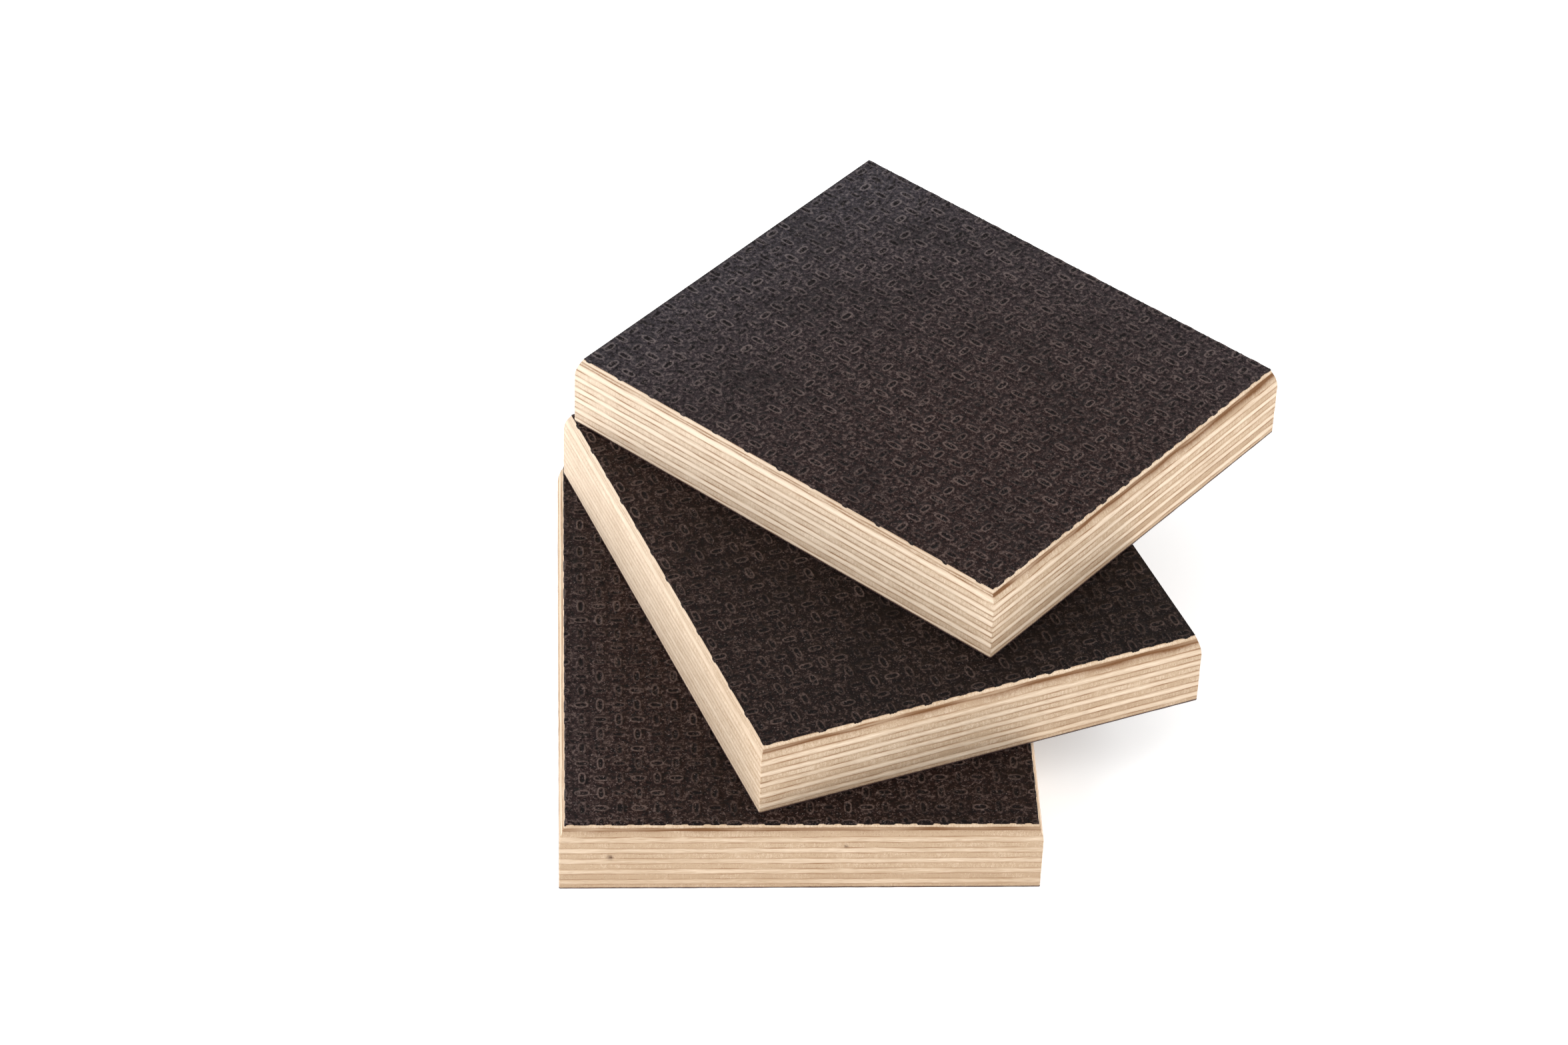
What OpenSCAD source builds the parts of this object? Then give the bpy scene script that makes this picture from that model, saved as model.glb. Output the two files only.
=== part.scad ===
// Three cut sheets of film-faced birch plywood, fanned one on top of another.
//
// Every sheet is built like the real board: thirteen birch veneers glued with their grain
// crossed, an embossed anti-slip film on the upper face and a smooth film on the lower one.
// Each veneer and each film is a solid of its own, and they lie face to face.
// The upper arris of every sheet is eased: its walls lean in along a curve towards the top.
//
// Millimetres, +Z up. The origin is on the floor, under the middle of the stack's box.

/* [Sheet] */
// Width of a sheet, across the grain of its face veneers
sheet_w = 101.5; // [70:0.5:200]
// Length of a sheet, along the grain of its face veneers
sheet_l = 118; // [70:0.5:240]

/* [Layers] */
// Number of veneers in a sheet, always odd
veneer_count = 13; // [5:2:17]
// Thickness of a core veneer
core_veneer_t = 1.5; // [1:0.01:2]
// Thickness of the two face veneers
face_veneer_t = 0.9; // [0.6:0.01:1.6]
// Thickness of the crossband, the veneer right under the upper face veneer
crossband_t = 0.6; // [0.5:0.01:1.6]
// Thickness of the anti-slip film, to the top of its embossing
top_film_t = 0.35; // [0.3:0.01:0.6]
// Thickness of the smooth film underneath
bottom_film_t = 0.25; // [0.15:0.01:0.5]

/* [Eased arris] */
// How far the upper arris is worked back on the long sides
side_ease_w = 1.45; // [0.2:0.05:3]
// How far it is worked back on the lower sheet's ends
lower_end_ease_w = 1.2; // [0.2:0.05:3]
// How far it is worked back on the middle sheet's ends
middle_end_ease_w = 1.9; // [0.2:0.05:3]
// How far it is worked back on the upper sheet's ends
upper_end_ease_w = 1.9; // [0.2:0.05:3]
// How far down the wall the easing reaches
ease_h = 5; // [1:0.1:6]
// Curve of the easing: 1 is a flat bevel, more is rounder
ease_power = 1.7; // [1:0.1:3]
// Flat facets that the easing takes in one layer
ease_steps = 3; // [1:1:6]

/* [Fan of the stack] */
// Turn of the middle sheet on the lower one, counter-clockwise from above
middle_turn = 20.1; // [-45:0.1:45]
// Shift of the middle sheet to the right, centre to centre
middle_x = 18.4; // [-30:0.1:30]
// Shift of the middle sheet to the back, centre to centre
middle_y = 17.6; // [-30:0.1:30]
// Turn of the upper sheet on the lower one
upper_turn = 47.9; // [-60:0.1:60]
// Shift of the upper sheet to the right of the lower one
upper_x = 30.6; // [-40:0.1:40]
// Shift of the upper sheet to the back of the lower one
upper_y = 50.2; // [-55:0.1:55]

/* [Hidden] */
sheet_names = ["lower_sheet", "middle_sheet", "upper_sheet"];
sheet_turns = [0, middle_turn, upper_turn];
sheet_centres = [[0, 0], [middle_x, middle_y], [upper_x, upper_y]];
end_ease_ws = [lower_end_ease_w, middle_end_ease_w, upper_end_ease_w];

// Veneers are counted from the top of a sheet: number 1 is the upper face veneer.
function is_face(number) = number == 1 || number == veneer_count;
function veneer_t(number) = is_face(number) ? face_veneer_t : number == 2 ? crossband_t : core_veneer_t;
function total(values, i = 0) = i < len(values) ? values[i] + total(values, i + 1) : 0;
// Height of a veneer's lower face: the film and every veneer below it.
function veneer_z(number) =
    bottom_film_t + total([for (below = [veneer_count:-1:1]) below > number ? veneer_t(below) : 0]);
sheet_t = veneer_z(1) + veneer_t(1) + top_film_t;

function two_digits(number) = str(number < 10 ? "0" : "", number);
function ply_name(sheet, number) = str(sheet_names[sheet], "_ply_", two_digits(number));
function top_film_name(sheet) = str(sheet_names[sheet], "_top_film");
function bottom_film_name(sheet) = str(sheet_names[sheet], "_bottom_film");

// The corners of all the sheets in plan, and the middle of the box round them.
function turned(p, angle) =
    [p.x * cos(angle) - p.y * sin(angle), p.x * sin(angle) + p.y * cos(angle)];
corners = [for (s = [0:2], sx = [-1, 1], sy = [-1, 1])
    sheet_centres[s] + turned([sx * sheet_w / 2, sy * sheet_l / 2], sheet_turns[s])];
corner_xs = [for (c = corners) c.x];
corner_ys = [for (c = corners) c.y];
stack_middle = [(min(corner_xs) + max(corner_xs)) / 2, (min(corner_ys) + max(corner_ys)) / 2];

long_grain_colour = "burlywood";
cross_grain_colour = "tan";
top_film_colour = "#2e2626";
bottom_film_colour = "#3a2a22";

// How far a wall stands back at a height in the sheet.
function ease_inset(z, ease_w) =
    let (down = sheet_t - z) down < ease_h ? ease_w * pow(1 - down / ease_h, ease_power) : 0;

// Heights at which a layer's wall bends: where the easing starts, then even steps to the top.
function wall_heights(z0, z1) =
    let (start = max(z0, sheet_t - ease_h))
    start >= z1 ? [z0, z1] : concat(
        start > z0 ? [z0] : [],
        [for (i = [0:ease_steps]) start + (z1 - start) * i / ease_steps]
    );

// Section through a layer, as wide as the sheet is in that direction.
module layer_section(size, ease_w, z0, z1) {
    heights = wall_heights(z0, z1);
    last = len(heights) - 1;
    polygon(concat(
        [for (z = heights) [size / 2 - ease_inset(z, ease_w), z]],
        [for (i = [last:-1:0]) [ease_inset(heights[i], ease_w) - size / 2, heights[i]]]
    ));
}

// One flat layer of a sheet from height z0 to z1, with the eased wall on all four sides.
module layer(sheet, z0, z1) {
    intersection() {
        rotate([90, 0, 0])
            linear_extrude(height = sheet_l, center = true)
                layer_section(sheet_w, side_ease_w, z0, z1);
        rotate([90, 0, 90])
            linear_extrude(height = sheet_w, center = true)
                layer_section(sheet_l, end_ease_ws[sheet], z0, z1);
    }
}

// Puts what belongs to a sheet where that sheet lies in the stack.
module in_sheet(sheet) {
    centre = sheet_centres[sheet] - stack_middle;
    translate([centre.x, centre.y, sheet * sheet_t])
        rotate([0, 0, sheet_turns[sheet]])
            children();
}

// A veneer. Odd ones have their grain along the sheet's length, even ones across it.
module ply(sheet, number) {
    z0 = veneer_z(number);
    color(number % 2 == 1 ? long_grain_colour : cross_grain_colour)
        in_sheet(sheet) layer(sheet, z0, z0 + veneer_t(number));
}

// The embossed film on the upper face, up to the top of its embossing.
module top_film(sheet) {
    color(top_film_colour)
        in_sheet(sheet) layer(sheet, sheet_t - top_film_t, sheet_t);
}

// The smooth film on the lower face.
module bottom_film(sheet) {
    color(bottom_film_colour)
        in_sheet(sheet) layer(sheet, 0, bottom_film_t);
}

for (s = [0:2]) {
    bottom_film(s);
    for (number = [1:veneer_count])
        ply(s, number);
    top_film(s);
}
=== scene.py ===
"""Finish of a small fanned stack of three film-faced, anti-slip birch plywood sheets.

Each sheet is laid up from thirteen veneers with their grain crossed, a smooth film pressed on its
underside and an embossed anti-slip film on its upper face. Lengths are in millimetres until a mesh is
written, and each sheet's place and outline are read from its construction layers.
"""

import logging
import math
from dataclasses import dataclass, field
from enum import Enum

import bpy
import numpy as np
from mathutils import Matrix, Vector


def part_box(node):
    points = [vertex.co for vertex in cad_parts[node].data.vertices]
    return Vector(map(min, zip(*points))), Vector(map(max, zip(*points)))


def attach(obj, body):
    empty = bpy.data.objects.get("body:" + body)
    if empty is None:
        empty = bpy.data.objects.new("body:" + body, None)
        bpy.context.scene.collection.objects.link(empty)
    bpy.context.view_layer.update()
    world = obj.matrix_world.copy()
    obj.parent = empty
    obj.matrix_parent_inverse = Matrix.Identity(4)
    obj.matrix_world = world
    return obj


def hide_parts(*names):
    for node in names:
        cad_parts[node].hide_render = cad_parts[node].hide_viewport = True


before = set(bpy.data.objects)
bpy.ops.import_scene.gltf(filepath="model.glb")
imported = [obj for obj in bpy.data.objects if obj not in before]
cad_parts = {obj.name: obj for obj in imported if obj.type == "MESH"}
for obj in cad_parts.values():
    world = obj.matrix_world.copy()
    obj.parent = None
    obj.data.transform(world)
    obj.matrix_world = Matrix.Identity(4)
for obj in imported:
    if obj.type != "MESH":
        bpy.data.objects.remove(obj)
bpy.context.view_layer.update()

Array = np.ndarray
Colour = tuple[float, float, float]
Triple = tuple[float, float, float]
Span = tuple[int, int]  # fewest and most waves round a sheet
PerWall = tuple[float, float, float, float]  # a value for each wall of a sheet

LOG = logging.getLogger("plywood")
MM = 0.001  # metres in a millimetre
BODY = "root"
ANTI_SLIP_SLOT = "anti_slip_film"
SMOOTH_SLOT = "smooth_film"
SHEETS = ("lower_sheet", "middle_sheet", "upper_sheet")
WALLS = 4  # walls round a sheet: front end, right side, back end, left side
TRAVEL = np.array([(1.0, 0.0), (0.0, 1.0), (-1.0, 0.0), (0.0, -1.0)])  # way along each wall
OUTWARD = np.array([(0.0, -1.0), (1.0, 0.0), (0.0, 1.0), (-1.0, 0.0)])  # way out of each wall
FULL_TURN = 2 * np.pi


class Draw(Enum):
    """What a layer's random numbers are for; the value keeps them apart."""

    CUT = 0
    JOINT = 1
    EMBOSS = 77
    TRIM = 88


def random_of(sheet: str, draw: Draw, number: int | None = None) -> np.random.Generator:
    """Start the random numbers of one layer or joint, the same each run.

    Args:
        sheet: Name of its sheet.
        draw: What they are for.
        number: The veneer, where it is one.

    Returns:
        The generator.
    """
    seed = [SHEETS.index(sheet), draw.value]
    if number is not None:
        seed.insert(1, number)
    return np.random.default_rng(seed)


# ---------------------------------------------------------------- shader expressions


def tone(red: float, green: float, blue: float) -> Colour:
    """Turn a colour as a screen shows it, 0 to 255, into the linear one that a shader takes.

    The curve is a straight line near black and a power of 2.4 above it.

    Args:
        red: Red share, 0 to 255.
        green: Green share, 0 to 255.
        blue: Blue share, 0 to 255.

    Returns:
        The three linear shares, 0 to 1.
    """
    full, knee, slope, lift, power = 255, 0.04045, 12.92, 0.055, 2.4
    shares = (share / full for share in (red, green, blue))
    return tuple(s / slope if s <= knee else ((s + lift) / (1 + lift)) ** power for s in shares)


class Signal:
    """A number that changes over a surface. Arithmetic on it adds Math nodes to its material."""

    def __init__(self, graph: "Graph", socket: bpy.types.NodeSocket) -> None:
        """Wrap one output socket of a graph."""
        self.graph = graph
        self.socket = socket

    def _math(self, operation: str, first: "Signal | float", second: "Signal | float") -> "Signal":
        """Add a Math node with two operands and return its result."""
        return self.graph.add("ShaderNodeMath", {"operation": operation}, {0: first, 1: second})

    def __add__(self, other: "Signal | float") -> "Signal":
        """Signal plus other."""
        return self._math("ADD", self, other)

    __radd__ = __add__

    def __sub__(self, other: "Signal | float") -> "Signal":
        """Signal minus other."""
        return self._math("SUBTRACT", self, other)

    def __rsub__(self, other: float) -> "Signal":
        """Other minus signal."""
        return self._math("SUBTRACT", other, self)

    def __mul__(self, other: "Signal | float") -> "Signal":
        """Signal times other."""
        return self._math("MULTIPLY", self, other)

    __rmul__ = __mul__

    def at_most(self, other: "Signal | float") -> "Signal":
        """The lower of the two."""
        return self._math("MINIMUM", self, other)

    def at_least(self, other: "Signal | float") -> "Signal":
        """The higher of the two."""
        return self._math("MAXIMUM", self, other)

    def step(self, low: float, high: float) -> "Signal":
        """Rise smoothly from 0 where the signal is at low to 1 where it is at high.

        Args:
            low: Where the rise starts.
            high: Where it ends. It may be below low, and then the result falls.

        Returns:
            The eased share, 0 to 1.
        """
        settings = {"interpolation_type": "SMOOTHSTEP"}
        return self.graph.add("ShaderNodeMapRange", settings, {0: self, 1: low, 2: high})


class Graph:
    """The nodes of one material, built by expressions."""

    def __init__(self, name: str) -> None:
        """Start an empty material with its output node.

        Args:
            name: The material's name.
        """
        self.material = bpy.data.materials.new(name)
        self.material.use_nodes = True
        self.tree = self.material.node_tree
        self.tree.nodes.clear()
        self.out = self.tree.nodes.new("ShaderNodeOutputMaterial")

    def add(self, kind: str, settings: dict, inputs: dict, output: int | str = 0) -> Signal:
        """Add one node.

        Args:
            kind: The node's type.
            settings: Its own properties, set before its sockets.
            inputs: Value or signal for each socket, by index or name.
            output: Which of its outputs to return.

        Returns:
            That output as a signal.
        """
        node = self.tree.nodes.new(kind)
        for key, value in settings.items():
            setattr(node, key, value)
        for key, value in inputs.items():
            if isinstance(value, Signal):
                self.tree.links.new(value.socket, node.inputs[key])
            elif isinstance(value, tuple) and node.inputs[key].type == "RGBA":
                node.inputs[key].default_value = (*value, 1.0)
            else:
                node.inputs[key].default_value = value
        return Signal(self, node.outputs[output])

    def carried(self, name: str, output: str = "Fac") -> Signal:
        """Read a value that the mesh carries at its points."""
        return self.add("ShaderNodeAttribute", {"attribute_name": name}, {}, output)

    def blend(self, first: Signal | Colour, second: Signal | Colour, share: Signal) -> Signal:
        """Mix two colours.

        Args:
            first: The colour where share is 0.
            second: The colour where share is 1.
            share: How much of the second shows.

        Returns:
            The mixed colour.
        """
        return self.add("ShaderNodeMix", {"data_type": "RGBA"}, {0: share, 6: first, 7: second}, 2)

    def place(self) -> Signal:
        """Read the place on the object, in metres."""
        return self.add("ShaderNodeTexCoord", {}, {}, "Object")

    def stretched(self, place: Signal, scale: Triple) -> Signal:
        """Scale a place along its three axes, so that a pattern on it stretches."""
        return self.add("ShaderNodeVectorMath", {"operation": "MULTIPLY"}, {0: place, 1: scale})

    def noise(self, place: Signal, scale: float, detail: float = 2.0, rough: float = 0.5) -> Signal:
        """Cloudy noise around 0.5.

        Args:
            place: Where to read it.
            scale: Clouds to a unit of place.
            detail: How many finer layers are added.
            rough: Strength of each finer layer against the one before.

        Returns:
            The noise, about 0.2 to 0.8.
        """
        inputs = {"Vector": place, "Scale": scale, "Detail": detail, "Roughness": rough}
        return self.add("ShaderNodeTexNoise", {}, inputs)

    def surface(self, colour: Signal, roughness: Signal, height: Signal, bump: float,
                reach: float, gloss: float, glow: float = 0.0) -> bpy.types.Material:
        """Close the material with its shader.

        Args:
            colour: Base colour.
            roughness: Roughness over the surface.
            height: Fine relief, 0 to 1.
            bump: How strongly the relief tilts the surface.
            reach: Height of the relief in metres.
            gloss: Specular level, the same all over.
            glow: How strongly it shines by itself, as a lit studio floor does, the same all over.

        Returns:
            The finished material.
        """
        relief = {"Strength": bump, "Distance": reach, "Height": height}
        normal = self.add("ShaderNodeBump", {}, relief)
        inputs = {
            "Base Color": colour, "Roughness": roughness, "Normal": normal,
            "Specular IOR Level": gloss, "Emission Color": (1.0, 1.0, 1.0), "Emission Strength": glow,
        }
        shader = self.add("ShaderNodeBsdfPrincipled", {}, inputs)
        self.tree.links.new(shader.socket, self.out.inputs["Surface"])
        return self.material


# ---------------------------------------------------------------- finishes


class Grain(Enum):
    """Which way a veneer's fibres run in its sheet; the value is its material slot."""

    LONG = "long_grain_veneer"
    CROSS = "cross_grain_veneer"


@dataclass(frozen=True)
class BirchFinish:
    """Sawn birch veneer edge: pale side grain, darker end grain, brown stain, dark glue lines and a painted
    washout of strong light.

    Attributes:
        bright: Wood at its palest; dull is the darkest, and light_washed the painted pale of wood washed
            out by strong light.
        stained: Wood browned by resin; glue and knot are the colours of those places.
        relief: Height of the fibres in metres.
        clouds: Changes to a millimetre along the fibre and in the two ways across it. It is the same
            for streaks, fibres, rays and pores.
        cloud_weight: How much the clouds change the brightness; the same for the next three.
        core_reach: Distances from a joint, in millimetres, between which the wood turns from its
            duller edge to its core.
        glue_reach: Distances from a joint where the glue line starts and is full.
        pore_reach: Values of the pore pattern where a pore starts and is full.
    """

    bright: Colour = tone(226, 206, 183)
    dull: Colour = tone(181, 156, 129)
    light_washed: Colour = tone(230, 219, 205)
    stained: Colour = tone(112, 76, 46)
    glue: Colour = tone(136, 100, 70)
    knot: Colour = tone(78, 52, 36)
    roughness: float = 0.72
    gloss: float = 0.2
    bump: float = 0.5
    relief: float = 0.00008
    clouds: Triple = (0.03, 0.12, 0.25)
    streaks: Triple = (0.06, 1.3, 2.6)
    fibres: Triple = (0.3, 3.4, 5.5)
    rays: Triple = (0.6, 2.2, 0.6)
    pores: Triple = (0.35, 4.5, 4.5)
    cloud_weight: float = 0.9
    streak_weight: float = 0.8
    ray_weight: float = 1.4
    fibre_weight: float = 1.6
    core_reach: tuple[float, float] = (0.08, 0.65)
    glue_reach: tuple[float, float] = (0.24, 0.03)
    pore_reach: tuple[float, float] = (0.64, 0.74)

    def make(self, grain: Grain) -> bpy.types.Material:
        """Build the material of one grain direction.

        The wood is a solid pattern in fibre coordinates: streaks long along the fibre, fine across
        it. Side grain shows them as streaks, and end grain as short upright rays.

        Args:
            grain: The grain direction, which names the material.

        Returns:
            The finished material.
        """
        graph = Graph("birch_" + grain.name.lower() + "_grain")
        fibre = graph.carried("fibre", "Vector")
        end_cut = graph.carried("end_cut")
        stain = graph.carried("stain")
        glue_gap = graph.carried("glue_gap")
        cloud = graph.noise(graph.stretched(fibre, self.clouds), 1.0, 3.0)
        streak = graph.noise(graph.stretched(fibre, self.streaks), 1.0, 4.0, 0.65)
        fine = graph.noise(graph.stretched(fibre, self.fibres), 1.0, 3.0, 0.7)
        ray = graph.noise(graph.stretched(fibre, self.rays), 1.0, 4.0, 0.65)
        pore = graph.noise(graph.stretched(fibre, self.pores), 1.0, 1.0).step(*self.pore_reach)
        core = glue_gap.step(*self.core_reach)
        light = graph.carried("shade") * (0.35 + 0.65 * core) + self.cloud_weight * (cloud - 0.5)
        light = light + (1.0 - end_cut) * self.streak_weight * (streak - 0.5)
        light = light + end_cut * self.ray_weight * (ray - 0.5) + self.fibre_weight * (fine - 0.5)
        wood = graph.blend(self.dull, self.bright, light.at_least(0.0).at_most(1.0))
        # Painted washout where strong light falls on a wall.
        wood = graph.blend(wood, self.light_washed, graph.carried("bleach"))
        line = glue_gap.step(*self.glue_reach) * graph.carried("joint") * (0.4 + 1.1 * streak).at_most(1.0)
        wood = graph.blend(wood, self.glue, line)
        wood = graph.blend(wood, self.stained, (stain * (0.7 + 0.9 * streak)).at_most(1.0))
        wood = graph.blend(wood, self.stained, pore * (0.2 + 0.3 * end_cut))
        wood = graph.blend(wood, self.knot, graph.carried("knot"))
        roughness = self.roughness + 0.25 * (fine - 0.5) + 0.08 * end_cut
        height = 0.6 * fine + 0.4 * (end_cut * ray + (1.0 - end_cut) * streak) - 0.5 * pore
        return graph.surface(wood, roughness, height, self.bump, self.relief, self.gloss)


@dataclass(frozen=True)
class AntiSlipFinish:
    """Embossed phenolic film: brown-black satin resin, paler on the crests of the ovals, partly wear and
    partly a painted highlight, with a painted bluish sheen and painted shade over it.

    Attributes:
        warm: Resin without painted sheen; cool is the colour of the painted bluish sheen.
        warm_crest: Crests, partly wear and partly a painted highlight on the ridges, and pale grit, on
            resin without painted sheen;
        cool_crest is the same under the painted sheen.
        slit: Near-black for painted shade in the slits and on the shaded films, and for the dark specks of
            the grit;
        fleck is the colour of the palest specks.
        relief: Height of the grit in metres.
        clouds: Clouds to a metre; grit and specks are counted in the same way.
        shade_dimming: How much of the pale crests, grit and specks painted shade takes away.
    """

    warm: Colour = tone(32, 16, 12)
    cool: Colour = tone(47, 43, 48)
    warm_crest: Colour = tone(90, 74, 68)
    cool_crest: Colour = tone(100, 92, 92)
    slit: Colour = tone(8, 4, 4)
    fleck: Colour = tone(120, 106, 102)
    roughness: float = 0.5
    gloss: float = 0.1
    bump: float = 0.45
    relief: float = 0.00006
    clouds: float = 60.0
    grit: float = 1100.0
    specks: float = 2600.0
    shade_dimming: float = 0.6

    def make(self) -> bpy.types.Material:
        """Build the material. The mesh carries the emboss height, each oval's wear, and how much painted
        sheen and painted shade lies on each place.

        Returns:
            The finished material.
        """
        graph = Graph(ANTI_SLIP_SLOT)
        place = graph.place()
        rise = graph.carried("rise")
        wear = graph.carried("wear")
        cool = graph.carried("cool")
        cloud = graph.noise(place, self.clouds, 3.0)
        grit = graph.noise(place, self.grit, 4.0, 0.7)
        speck = graph.noise(place, self.specks, 2.0, 0.6)
        # Pale crests of the ovals: partly wear, partly a painted highlight on the ridges.
        crest = rise.step(0.15, 0.9) * (0.2 + 0.6 * wear) * grit.step(0.26, 0.54)
        # Painted shade dims the pale crests, grit and specks.
        unshaded = cool.at_most(0.0) * self.shade_dimming + 1.0
        # Painted bluish sheen where the value is above 0, then painted shade where it is below 0.
        resin = graph.blend(self.warm, self.cool, cool.at_least(0.0))
        resin = graph.blend(resin, self.slit, (-1.0 * cool).at_least(0.0))
        # Painted shade in the slits of the ovals.
        resin = graph.blend(resin, self.slit, rise.step(-0.1, -0.7) * 0.85)
        resin = graph.blend(resin, self.slit, 0.95 * grit.step(0.5, 0.38))
        pale = graph.blend(self.warm_crest, self.cool_crest, cool.at_least(0.0))
        resin = graph.blend(resin, pale, crest * unshaded)
        resin = graph.blend(resin, pale, 0.7 * grit.step(0.52, 0.66) * unshaded)
        resin = graph.blend(resin, self.fleck, 0.6 * speck.step(0.6, 0.72) * unshaded)
        resin = graph.blend(resin, self.slit, cloud.step(0.5, 0.3) * 0.3)
        roughness = self.roughness + 0.3 * (grit - 0.5) - 0.08 * crest + 0.12 * (cloud - 0.5)
        height = 0.7 * grit + 0.3 * speck
        return graph.surface(resin, roughness, height, self.bump, self.relief, self.gloss)


@dataclass(frozen=True)
class SmoothFilmFinish:
    """Smooth phenolic film on the underside: even dark brown with a faint paper grain."""

    resin: Colour = tone(60, 44, 42)
    paper: Colour = tone(78, 60, 56)
    roughness: float = 0.38
    gloss: float = 0.4
    bump: float = 0.3
    relief: float = 0.00002
    clouds: float = 45.0
    paper_grain: float = 900.0

    def make(self) -> bpy.types.Material:
        """Build the material from two scales of noise.

        Returns:
            The finished material.
        """
        graph = Graph(SMOOTH_SLOT)
        place = graph.place()
        cloud = graph.noise(place, self.clouds, 3.0)
        paper = graph.noise(place, self.paper_grain, 3.0, 0.6)
        resin = graph.blend(self.resin, self.paper, (0.8 * cloud + 0.5 * paper - 0.25).at_least(0.0))
        roughness = self.roughness + 0.2 * (cloud - 0.5) + 0.15 * (paper - 0.5)
        return graph.surface(resin, roughness, paper, self.bump, self.relief, self.gloss)


# ---------------------------------------------------------------- shells


@dataclass
class Shell:
    """A closed surface: points in millimetres, its triangles, and the values that points carry."""

    points: Array
    triangles: Array
    values: dict[str, Array] = field(default_factory=dict)

    def write(self, name: str, material: bpy.types.Material, crease_deg: float) -> bpy.types.Object:
        """Put the shell into the scene as an object at the origin.

        Args:
            name: The piece's name.
            material: Its finish.
            crease_deg: Edges that turn more than this stay sharp.

        Returns:
            The new object.
        """
        mesh = bpy.data.meshes.new(name)
        count = len(self.triangles)
        mesh.vertices.add(len(self.points))
        mesh.vertices.foreach_set("co", (self.points * MM).astype(np.float32).ravel())
        mesh.loops.add(3 * count)
        mesh.loops.foreach_set("vertex_index", self.triangles.astype(np.int32).ravel())
        mesh.polygons.add(count)
        mesh.polygons.foreach_set("loop_start", np.arange(0, 3 * count, 3, dtype=np.int32))
        mesh.update(calc_edges=True)
        mesh.polygons.foreach_set("use_smooth", np.ones(count, bool))
        mesh.set_sharp_from_angle(angle=math.radians(crease_deg))
        for key, value in self.values.items():
            kind = "FLOAT_VECTOR" if value.ndim == 2 else "FLOAT"
            carried = mesh.attributes.new(key, kind, "POINT")
            carried.data.foreach_set("vector" if value.ndim == 2 else "value",
                                     value.astype(np.float32).ravel())
        mesh.materials.append(material)
        piece = bpy.data.objects.new(name, mesh)
        bpy.context.scene.collection.objects.link(piece)
        return piece


def band(upper: Array, lower: Array) -> Array:
    """Join two rings of point numbers with triangles that face outwards.

    Each pair of neighbours on the upper ring and the pair below it make two triangles.

    Args:
        upper: Point numbers of the upper ring, turning left as seen from above.
        lower: Point numbers of the ring below it, in the same order.

    Returns:
        The triangles.
    """
    after_upper = np.roll(upper, -1)
    after_lower = np.roll(lower, -1)
    left = np.stack([upper, lower, after_lower], 1)
    right = np.stack([upper, after_lower, after_upper], 1)
    return np.concatenate([left, right])


def bands(rings: list[Array] | Array) -> list[Array]:
    """Join each ring of point numbers to the one below it."""
    return [band(upper, lower) for upper, lower in zip(rings, rings[1:])]


def lid(ring: Array, centre: int, upward: bool) -> Array:
    """Close a ring with a fan of triangles about a centre point.

    Args:
        ring: Point numbers of the ring, turning left as seen from above.
        centre: Point number of the centre.
        upward: True for a face that looks up.

    Returns:
        The triangles.
    """
    after = np.roll(ring, -1)
    middle = np.full_like(ring, centre)
    order = (middle, ring, after) if upward else (middle, after, ring)
    return np.stack(order, 1)


def slab(rings: list[Array], low: float, high: float) -> tuple[Array, Array]:
    """Close a wall of rings with a flat face above and below.

    Args:
        rings: The wall's points, one ring after another from the top down.
        low: Height of the lower face's middle.
        high: Height of the upper face's middle.

    Returns:
        The points, with the middles of the upper and the lower face last, and the triangles.
    """
    points = np.concatenate([*rings, [[0, 0, high]], [[0, 0, low]]])
    upper_middle, lower_middle = len(points) - 2, len(points) - 1
    numbers = np.arange(upper_middle).reshape(len(rings), -1)
    ends = [lid(numbers[0], upper_middle, True), lid(numbers[-1], lower_middle, False)]
    return points, np.concatenate([*bands(numbers), *ends])


# ---------------------------------------------------------------- a sheet's place and walls


def node_points(node: str) -> Array:
    """Read a construction layer's corners.

    Args:
        node: The layer's name.

    Returns:
        Its points in millimetres, one row each.
    """
    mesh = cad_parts[node].data
    flat = np.empty(3 * len(mesh.vertices), np.float32)
    mesh.vertices.foreach_get("co", flat)
    return flat.reshape(-1, 3).astype(float) / MM


def layer_heights(node: str) -> tuple[float, float]:
    """Lowest and highest point of a construction layer, in millimetres."""
    low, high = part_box(node)
    return low.z / MM, high.z / MM


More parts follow.
